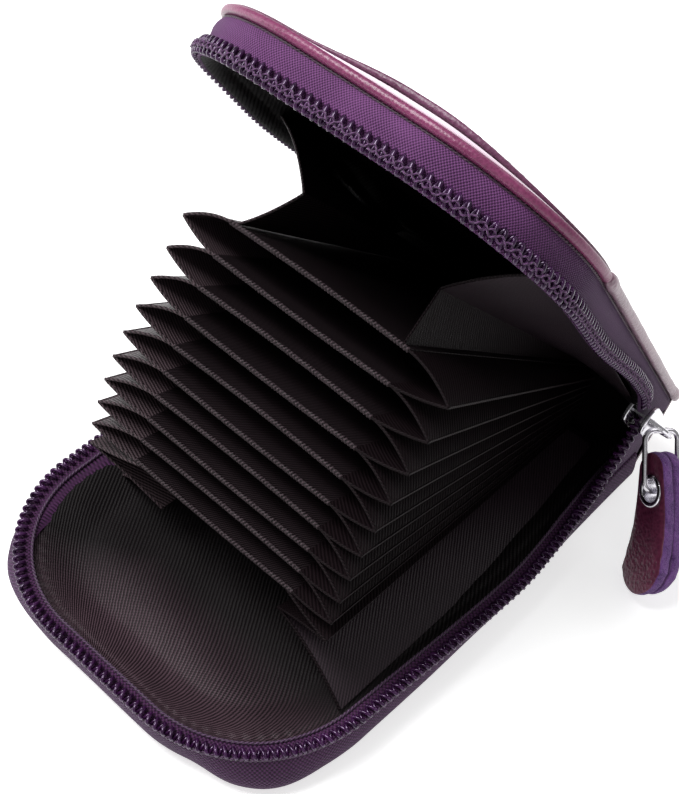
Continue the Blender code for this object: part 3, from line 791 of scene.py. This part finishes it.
def gape(points):
    """How far the pocket stands open, from 0 at its sewn ends to 1, less towards its root."""
    x, y = points[:, 0], points[:, 1]
    return eased((x + 15.0) / 22.0) * eased((37.0 - x) / 26.0) * (1 - 0.55 * eased((y + 50) / 60))


def pocket_layer(name, front, low, high, pressed, rounding, paint, node, rings=()):
    """A layer of the pocket between two heights. pressed has its heights where the pocket is shut."""

    def open_mouth(points):
        share = (points[:, 2] - low) / (high - low)
        near = gape(points)
        floor_z = pressed[0] + (low - pressed[0]) * near
        roof_z = pressed[1] + (high - pressed[1]) * near
        return on_lid(np.column_stack([points[:, :2], floor_z + (roof_z - floor_z) * share]))

    def outline(inset):
        return pocket_outline(inset, front)

    dress(plate(name, outline, low, high, rounding, paint, open_mouth, rings), "lid", node)


pocket_layer("pocket_lining_edge", 1.05, 19.62, 20.42, (19.50, 19.62), 0.3, pink_cloth,
    "outer_pocket_lining")
pocket_layer("pocket_panel_leather", 1.3, 20.72, 21.8, (19.58, 20.05), 0.42, panel_plum,
    "outer_pocket_panel",
    ((1.2, 0.02), (1.75, -0.10), (2.3, 0.02), (3.2, 0.10), (5.5, 0.16), (9.0, 0.2)))
ring = pocket_outline(1.75, 1.3)
line = np.column_stack([ring, 19.98 + 1.75 * gape(ring)])
dress(stitches("pocket_panel_stitches", np.concatenate([line, line[:1]]), 1.7, 0.9, 0.15, dark_stitch,
    on_lid), "lid")

# The folded leather edges on the lid's long sides, behind the pocket's steps, in plum leather painted pale as
# a painted sheen.
for side, label in ((1, "right"), (-1, "left")):
    o, z = np.transpose([(-1.5, 19.55), (-1.2, 19.86), (-0.8, 19.98), (-0.3, 19.86), (0.2, 19.4),
        (0.34, 18.8), (0.24, 18.2), (-0.1, 17.85), (-0.8, 17.8), (-0.8, 18.4), (-1.5, 19.3)])
    y = linspace(-27.5, 51.8, 90)[:, None]
    puff = 0.66 + 0.3 * np.sqrt(np.clip(np.minimum((y + 27.5) / 2.0, (51.8 - y) / 1.5), 0, 1))
    puff = puff + 0.03 * np.sin(y / 2.1) * np.sin(y / 5.3)
    puff = puff + 0.16 * np.exp(-((y + 24.6) / 2.2) ** 4) + 0.20 * np.exp(-((y - 49.0) / 2.6) ** 4)
    rows = on_lid(xyz(side * (HALF - 1.0 + (o + 1.0) * puff), y, 18.9 + (z - 18.9) * puff))
    dress(grid_piece(f"lid_{label}_binding", rows, painted_sheen_hide, True, side > 0, True), "lid")

dress(dish("lid_lining_cloth", shaded_lining, 1.75, 10.95, 15.9, 6.0, 8, on_zip, -1, 51.0),
    "lid", "upper_lining")

points, outward, along = u_path(0, 51.5, 51.5, 0.9)
bulge = 0.3 + 0.12 * np.sin(along / 5.3) * np.sin(along / 14.9 + 2)
wall = swept(points, outward, (-1.7, 11.3), (-1.6, 10.95), (-1.4, 10.75), (-1.15, 10.8), (-0.98, 11.3),
    (-0.98, 14.0), (-0.95 + 0.5 * bulge, 14.8), (-0.9 + bulge, 15.7), (-0.9 + 0.9 * bulge, 16.6),
    (-0.95 + 0.4 * bulge, 17.3), (-1.2, 17.8), (-1.6, 18.1))
dress(grid_piece("lid_tape_wall", on_zip(wall), tape_paint, swap_uv=True), "lid",
    "upper_zip_tape")
dress(coil("lid_coil_loops", 0.35, 35.5, 12.15, (0.3, 1.35), 0.36, pi, on_zip), "lid",
    "upper_zip_coil")

# Two threads cross between the loops, along the middle of the coil.
points, outward, along = u_path(-0.36, 36.0, 46.0, COIL_PITCH / 12)
threads = []
for k, phase in enumerate((0, pi)):
    lift = np.cos(TAU * along / COIL_PITCH + phase) * 0.12
    sway = np.sin(TAU * along / COIL_PITCH / 2 + phase)
    threads.append(rod(f"lid_coil_threads_{k}", swept(points, outward, (lift, 11.9 + 0.5 * sway))[:, 0], 0.17,
        stitch_paint, up=np.column_stack([outward, np.zeros(len(points))]), turn=on_zip, sides=5))
bpy.ops.object.select_all(action="DESELECT")
for piece in threads:
    piece.select_set(True)
bpy.context.view_layer.objects.active = threads[0]
bpy.ops.object.join()
threads[0].name = threads[0].data.name = "lid_coil_threads"
dress(threads[0], "lid")
dress(edge_cord("lid_groove_cord", 1.15, 17.75, 0.24, dark_stitch, 50.0, 50.0, on_lid),
    "lid")


# ---- spine

# The cloth on the spine's inner face, turned over both fold lines, in the lining's near-black copy with
# painted shade.
section = np.array([(48.6, 3.75), (50.4, 3.95), (51.25, 4.5), (51.55, 5.6),
    *((51.6, z) for z in linspace(6.4, 13.4, 8)), (51.55, 14.4), (51.1, 15.5), (50.2, 16.1), (48.4, 16.2)])
rows = xyz(linspace(-35.4, 35.4, 40)[:, None], *section.T)
front = on_spine(rows)
made = thick_sheet("spine_inner_cloth", front, on_spine(rows + (0, 0.28, 0)), shaded_lining)
area_of(front)
dress(made, "spine")

# The leather that turns from the lower cover up to the lid, rounded over both fold lines.
half = 35.9
heights = linspace(0.8, 18.8, 19)
swell = np.sin(pi * (heights - 0.8) / 18)
section = arc(SPINE_AXIS, 0.8, -0.5, 0, 5)[:-1] + list(zip(55.0 + 0.55 * swell, heights))
section += arc(LID_AXIS, 0.8, 0, 1, 9)[1:-1] + list(zip(53.4 + 0.1 * swell[::-1], heights[::-1]))
section += arc(SPINE_AXIS, 0.8, 1, 1.5, 5)[1:-1]
section = np.array(section)
count = len(section)
xs = linspace(-half, half, 61)
edge = np.clip((np.abs(xs[:, None]) - (half - 0.6)) / 0.6, 0, None) ** 2
rows = xyz(xs[:, None], 54.35 + (section[:, 0] - 54.35) * (1 - 0.5 * edge),
    9.8 + (section[:, 1] - 9.8) * (1 - 0.03 * edge))
uvs = np.column_stack([np.repeat(xs, count), np.tile(lengths(section), len(xs))])
made = mesh_piece("spine_leather_skin", on_spine(rows), tube_faces(len(xs), count), spine_plum, uvs,
    sharp=60)
# The leather's inward faces take the lining's near-black copy, painted shade.
made.data.materials.append(shaded_lining)
inward = on_spine([0, 0, 0]) - on_spine([0, 1, 0])
for polygon in made.data.polygons:
    if np.dot(polygon.normal, inward) > 0.5:
        polygon.material_index = 1
dress(made, "spine", "spine_leather")


# ---- accordion

FLAT_ANGLES = [14.5 + 23.5 * (i / 9 * 0.88 + 0.12 * (i / 9) ** 2) for i in range(10)]
RATIOS = [(angle - 27) / 27 for angle in FLAT_ANGLES]


def lean_of(index):
    """How steeply a divider stands, counted from the lowest. The top ones stand a little prouder than
    their flat boards."""
    return radians(FLAT_ANGLES[index] + 1.7 * max(0.0, (index - 4.5) / 4.5) ** 1.3)


def fan(index, lean, reach):
    """(y, z) at a reach from a divider's fold line."""
    y, z = on_spine([0, 51.5, 4.4 + 1.2 * index])[1:]
    return np.array([y - reach * cos(lean), z + reach * sin(lean)])


def seam(index, lean, reach, x, drop=0.0):
    """A point on the accordion, from the fan's place and an x."""
    y, z = fan(index, lean, reach)
    return np.array([x, y, z - drop])


def divider_sheet(index):
    """One divider: two layers of cloth with a slight sag, from its root to its mouth."""
    name = f"divider_{10 - index:02d}"
    lean = lean_of(index)
    up = (sin(lean), cos(lean))
    y0, z0 = fan(index, lean, 0)

    def sagging(x):
        return 0.32 * np.sin(pi * (x + KNOT) / (2 * KNOT)) * (1 if index % 2 else -0.6)

    r, x = np.meshgrid(linspace(0.6, REACH - 0.5, 44), linspace(-KNOT - 0.05, KNOT + 0.05, 26),
        indexing="ij")
    # The sheet is fullest near its mouth and is held flat at its root and its sewn sides.
    faces = []
    for half in (0.22, -0.22):
        height = sagging(x) * eased(r / REACH) + half * eased(r / 6 + 0.3)
        faces.append(xyz(x, y0 - cos(lean) * r + up[0] * height, z0 + sin(lean) * r + up[1] * height))
    made = thick_sheet(f"{name}_cloth", *faces, divider_paint)
    area_of(faces[0])
    dress(made, name, name)
    x = linspace(-KNOT, KNOT, 9)
    y, z = fan(index, lean, REACH - 0.1)
    line = smooth_line(xyz(x, y + up[0] * sagging(x), z + up[1] * sagging(x)), 0.1)
    dress(rod(f"{name}_rim", line, 0.36, rim_paint, up=(0, *up), sides=10, flat=1.25, ribs=0.12, pitch=0.6,
        lean=1.2), name)


for index in range(10):
    divider_sheet(index)


def pleat(name, knot, tip, paint, hem_paint, dome, over, way, flip):
    """One side of a pleat, from a sewn edge to a fold, and its turned edge at the mouth.

    knot and tip are (root, mouth). The sheet swells by dome, over its line or, with way -1, under it."""
    t = linspace(0, 1, 34)[:, None, None]
    s = linspace(0, 1, 16)[None, :, None]
    near = knot[0] + (knot[1] - knot[0]) * t
    far = tip[0] + (tip[1] - tip[0]) * t
    lift = over * way
    rows = near + (far - near) * s + lift * dome * np.sin(pi * s) ** 0.8 * (0.25 + 0.75 * t)
    lower = rows - lift * 0.22
    made = thick_sheet(name, lower if flip else rows, rows if flip else lower, paint)
    width = norm(rows[:, -1] - rows[:, 0], axis=-1).max()
    length = norm(rows[-1] - rows[0], axis=-1).max()
    area_of(rows)
    hem = rod(f"{name}_hem", smooth_line(rows[-1], 0.25), 0.22, hem_paint, up=over, flat=1.2, ribs=0.05,
        pitch=0.6)
    return [made, hem]


def blended(pieces, high_spot):
    """Bakes each piece's transform into its mesh. high_spot is not used."""
    for piece in pieces:
        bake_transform(piece)


def side_cloth(side, label, paint, panel_paint, return_paint, low_paint):
    def pair(index, lean, x, mouth=REACH, mouth_x=None, drop=0.0, mouth_lean=None, mouth_drop=0.0):
        """A line on the accordion from near the root to the mouth."""
        return (seam(index, lean, 4.0, side * x, drop),
            seam(index, lean if mouth_lean is None else mouth_lean, mouth,
            side * (x if mouth_x is None else mouth_x), mouth_drop))

    def over_of(lean):
        return np.array([0.0, sin(lean), cos(lean)])

    knots = [pair(index, lean_of(index), KNOT) for index in range(10)]
    for index in range(9):
        wide = 28.4 + (-2.4 if side < 0 else 1.3) * eased((index - 2) / 6)
        tips = [pair(k, lean_of(k), 22.2, 86.0, wide) for k in (index, index + 1)]
        tip = [(a + b) / 2 for a, b in zip(*tips)]
        over = over_of((lean_of(index) + lean_of(index + 1)) / 2)
        name = f"{label}_pleat_{10 - index:02d}"
        pieces = pleat(f"{name}_upper", knots[index + 1], tip, paint, paint, 0.75, over, 1, side < 0)
        pieces += pleat(f"{name}_lower", knots[index], tip, paint, paint, 0.35, over, -1, side > 0)
        near, far = index + 1, index
        if abs(RATIOS[near]) > abs(RATIOS[far]):
            near, far = far, near
        blended(pieces, knots[far][1])

    # The first panels, from the lid's lining to the top divider.
    lid_reach = 88.0 if side > 0 else 66.0
    sewn = (on_lid([side * 33.6, 50.2, 12.2]), on_lid([side * 33.6, 54.2 - lid_reach, 14.2]))
    fold = pair(9, radians(53.0), 18.2, 78.0, 15.4 if side > 0 else 13.4, 0.0, radians(46.5))
    tuck = over_of(lean_of(9)) * 0.3 - (side * 1.2, 0, 0)
    over = over_of(0.75)
    pieces = pleat(f"{label}_top_panel", sewn, fold, panel_paint, paint, 1.4, over, 1, side > 0)
    start = [spot + tuck for spot in knots[9]]
    pieces += pleat(f"{label}_top_return", start, fold, return_paint, paint, 0.8, over, -1, side > 0)
    blended(pieces, on_lid([side * KNOT, -20.0, 14.0]))

    # The last panels, from the lowest divider to the lower half.
    lean = lean_of(0)
    over = over_of(lean)
    tuck = -over * 0.3 - (side * 1.2, 0, 0)
    tip = pair(0, lean, 22.2, 86.0, 28.4, 0.6, lean, 2.4)
    fold = pair(0, lean, 18.2, 80.0, 14.4, 1.2, radians(6.8))
    sewn = (np.array([side * 33.0, 50.2, 5.0]),
        np.array([33.6, -30.5, 9.4] if side > 0 else [-29.5, -22.0, 6.6]))
    start = [spot + tuck for spot in knots[0]]
    pieces = pleat(f"{label}_last_pleat", start, tip, paint, paint, 0.3, over, -1, side > 0)
    pieces += pleat(f"{label}_last_return", tip, fold, paint, paint, 0.3, over, 1, side > 0)
    pieces += pleat(f"{label}_low_panel", fold, sewn, low_paint, paint, 1.3, over, 1, side > 0)
    blended(pieces, np.array([0, -30.5, 5.0]))
    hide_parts(f"{label}_gusset")


# The right side takes the shaded copy of the gusset cloth and its panels a lit copy; the left side takes a
# lit copy.
side_cloth(1, "right", right_cloth_shaded, panel_cloth_lit, right_cloth_shaded, panel_cloth_lit)
side_cloth(-1, "left", left_cloth_lit, divider_paint, divider_paint, left_cloth_lit)


# ---- pull

EYE = np.array([40.85, *on_lid([0, 41.2, 11.0])[1:]])
PULL_TURN = np.array(Matrix.Rotation(-radians(39.5), 4, "Y") @ Matrix.Rotation(-radians(31.5), 4, "X")
    @ Matrix.Rotation(radians(-11.4), 4, "Z"))[:3, :3]


def on_pull(points, drop=0.0):
    return (points + np.array([0, 0, -drop])) @ PULL_TURN.T + EYE


def tab_ring(inset):
    """The tab's outline as (x, z) in its own frame."""
    tail = 5.5 - inset
    neck = 3.6 - inset
    return np.array(arc((0, 3.6), neck, 1, 0, 22) + between((neck, 3.6), (tail, -13.5), 16)
        + arc((0, -13.5), tail, 0, -1, 44) + between((-tail, -13.5), (-neck, 3.6), 16))


def curled(points, seed):
    """The tab's tail curls forward, and its cut edges are a little wavy."""
    made = points.copy()
    x, z = points[..., 0], points[..., 2]
    below = np.clip(-z, 0, None)
    made[..., 1] -= 0.06 * below + 0.0062 * below ** 2
    made[..., 1] += 0.22 * np.sin(z / 2.7 + seed) * np.clip(x / 5.5, -1, 1) ** 2
    rim = np.clip(np.abs(x / 5.5) - 0.75, 0, 0.3) / 0.3
    made[..., 0] += np.sign(x) * rim * 0.16 * (np.sin(z * 1.9 + seed) + 0.6 * np.sin(z * 4.3 + 2 * seed))
    return made


def tab_layer(name, front, back, face_paint, front_round, back_round):
    """One leather of the tab with a hole, a dressed face and a raw edge."""
    outline = tab_ring(0)
    count = len(outline)
    hole = EYELET * outline / np.hypot(*outline.T)[:, None]

    def level(inset, y):
        return xyz(tab_ring(inset)[:, 0], y, tab_ring(inset)[:, 1])

    def inner(y, grow=0.15):
        spots = hole * (1 + grow / EYELET)
        return xyz(spots[:, 0], y, spots[:, 1])

    rings = [inner(front + 0.1, 0.0), inner(front)]
    for share in (0.4, 0.75):
        spots = inner(front) + (level(front_round, front) - inner(front)) * share
        spots[:, 1] = front - 0.16 * sin(pi * share)
        rings.append(spots)
    edge_from = len(rings) + 2
    rings += [level(inset, front + rise) for inset, rise in rounded(front_round, 5)]
    rings.append(level(-0.12, (front + back) / 2))
    rings += [level(rise, back - inset) for inset, rise in rounded(back_round, 4)]
    rings += [inner(back), inner(back - 0.1, 0.0)]
    flat = np.array(rings).reshape(-1, 3)
    made = mesh_piece(name, on_pull(curled(flat, front), TAB_DROP), grid_faces(len(rings), count, True, True),
        face_paint, np.column_stack([flat[:, 0] + flat[:, 1], flat[:, 2]]), sharp=60)
    # The raw edge shows the suede.
    made.data.materials.append(violet)
    for polygon in made.data.polygons:
        if edge_from <= min(polygon.vertices) // count < len(rings) - 4:
            polygon.material_index = 1
    return made


dress(tab_layer("pull_tab_front", -2.35, -0.15, tab_burgundy, 0.45, 0.25), "tab",
    "pull_front_leather")
dress(tab_layer("pull_tab_back", 0.15, 2.05, violet, 0.25, 0.4), "tab", "pull_back_suede")

# A rolled metal eyelet through both leathers.
section = arc((2.6, -2.5), 0.52, 0, 1, 9, tall=-0.32) + [(2.05, -1.5), (2.05, 1.2)]
section += arc((2.6, 2.2), 0.52, 1, 0, 9, tall=0.3) + [(2.5, 1.9), (2.5, -2.2)]
radii, y = np.transpose(section)
turns = turns_of(48)[:, None]
rows = xyz(radii * np.cos(turns), y, radii * np.sin(turns)).reshape(-1, 3)
faces = grid_faces(48, len(section), True, True, flip=True)
dress(mesh_piece("pull_eyelet_ring", on_pull(rows, TAB_DROP), faces, chrome, rows[:, [0, 2]]),
    "tab", "pull_eyelet")

# The wire link, with round corners.
half, corner = 3.8, 1.9
ring = []
for k, (y, z) in enumerate(((half - corner, -corner), (corner - half, -corner),
        (corner - half, corner - TAB_DROP), (half - corner, corner - TAB_DROP))):
    ring += arc((y, z), corner, k / 2, k / 2 + 0.5, 12)
line = filled(np.column_stack([np.zeros(len(ring)), ring]), 0.4)
dress(rod("pull_link_wire", on_pull(line), 0.55, chrome, up=PULL_TURN[:, 0], sides=14, closed=True), "link",
    "pull_link")


# ---- carried-over nodes

# The spine_lining node takes the lining's near-black copy, painted shade.
for node, paint in (("lower_board", board_paint), ("upper_board", board_paint), ("spine_board", board_paint),
        ("spine_lining", shaded_lining), ("slider_body", chrome)):
    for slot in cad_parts[node].material_slots:
        slot.material = paint
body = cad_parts["slider_body"]
bevel = body.modifiers.new("soft_edges", "BEVEL")
bevel.width = 0.00022
bevel.segments = 3
bevel.limit_method = "ANGLE"
bevel.angle_limit = radians(30)
for polygon in body.data.polygons:
    polygon.use_smooth = True


# ---- gores

def gore(side, label):
    """The tape and the closed zip that fill the notch beside the spine."""
    x = side * 36.3
    coil_line = smooth_line([(x, 30.5, 9.9), (x, 36.0, 10.6), (x, 41.0, 13.4), (x, 45.0, 17.6),
        (x, 47.8, 22.0)], 1.0)
    lid_line = on_lid(xyz(x, linspace(41.2, 50.8, 8), 12.6))
    top = bowed(resampled(np.concatenate([coil_line, lid_line[1:]]), 0.8))
    count = len(top)
    foot = bowed(xyz(x, linspace(30.5, 52.0, count), linspace(9.4, 5.0, count)))
    t = linspace(0, 1, 18)[:, None]
    rows = foot + (top - foot) * t[..., None]
    rows[..., 0] += side * 0.5 * np.sin(pi * t) * np.sin(linspace(0.1, pi - 0.1, count))
    layers = [rows, rows - (side * 0.4, 0, 0)][::-side]
    # The tape is split in two where its top line is nearest 15 mm high: a front end and a top.
    cut = int(np.argmin(np.abs(top[:, 2] - 15.0)))
    low = {"start": (x * MM, 0.0305, 0.009), "end": (x * MM, float(foot[cut, 1]) * MM, 0.009)}
    high = {"start": (x * MM, 0.050, 0.0155), "end": (x * MM, 0.052, 0.027)}
    for word, share, first, second, line in (("front", slice(0, cut + 1), "lower_half", "spine", low),
            ("tape", slice(cut, None), "spine", "lid", high)):
        tail = thick_sheet(f"{label}_tail_{word}", *(layer[:, share] for layer in layers), tape_paint, True)
        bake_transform(tail)
    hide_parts(f"{label}_zip_gore")
    if side < 0:
        return
    # The lower coil's free end climbs to the slider.
    fine = bowed(resampled(coil_line, COIL_PITCH / 16))
    angle = TAU * lengths(fine)[:, None] / COIL_PITCH
    sideways, over = frames(fine, (1, 0, 0))
    line = fine + sideways * 0.42 * np.sin(angle) + over * 0.86 * np.cos(angle)
    tail = rod(f"{label}_coil_tail", line, 0.34, coil_paint, up=over, sides=6)
    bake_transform(tail)


gore(1, "right")
gore(-1, "left")


# ---- floor and light

made = bpy.data.meshes.new("floor")
made.from_pydata([(-3, -3, 0), (3, -3, 0), (3, 3, 0), (-3, 3, 0)], [], [(0, 1, 2, 3)])
floor = placed("floor", made)
floor.location.z = -0.00005
net = Net("floor_white", Base_Color=(0.8, 0.8, 0.8, 1), Roughness=0.9, Specular_IOR_Level=0.1,
    Emission_Color=(1, 1, 1, 1))
rays = net.tree.nodes.new("ShaderNodeLightPath").outputs
seen = net.math("MAXIMUM", rays["Is Camera Ray"], rays["Is Glossy Ray"])
net.wire(net.math("MULTIPLY", seen, 0.6), net.shader["Emission Strength"])
made.materials.append(net.material)

world = bpy.data.worlds.new("studio")
bpy.context.scene.world = world
net = Net("studio", world)
background = net.tree.nodes["Background"].inputs
rays = net.tree.nodes.new("ShaderNodeLightPath").outputs
seen = net.math("MAXIMUM", rays["Is Camera Ray"], rays["Is Transmission Ray"])
background["Color"].default_value = (1, 1, 1, 1)
strength = net.node("ShaderNodeMapRange", **{"Value": seen, "To Min": 0.30, "To Max": 1.0})
net.wire(strength, background["Strength"])


def lamp(name, place, target, size, power):
    data = bpy.data.lights.new(name, "AREA")
    data.shape = "RECTANGLE"
    data.size, data.size_y = size
    data.energy = power
    made = placed(name, data)
    made.location = place
    made.rotation_euler = (Vector(target) - Vector(place)).to_track_quat("-Z", "Y").to_euler()


lamp("key", (-0.28, -0.20, 0.82), (0, 0, 0.03), (0.38, 0.38), 7.6)
lamp("left", (-0.75, -0.20, 0.30), (0, 0, 0.03), (0.4, 0.4), 1.6)
lamp("fill", (0.6, -0.5, 0.5), (0, 0, 0.03), (0.6, 0.4), 0.5)
lamp("back", (0.2, 0.8, 0.6), (0, 0, 0.05), (0.8, 0.4), 1.6)

view = bpy.context.scene.view_settings
view.view_transform = "Standard"
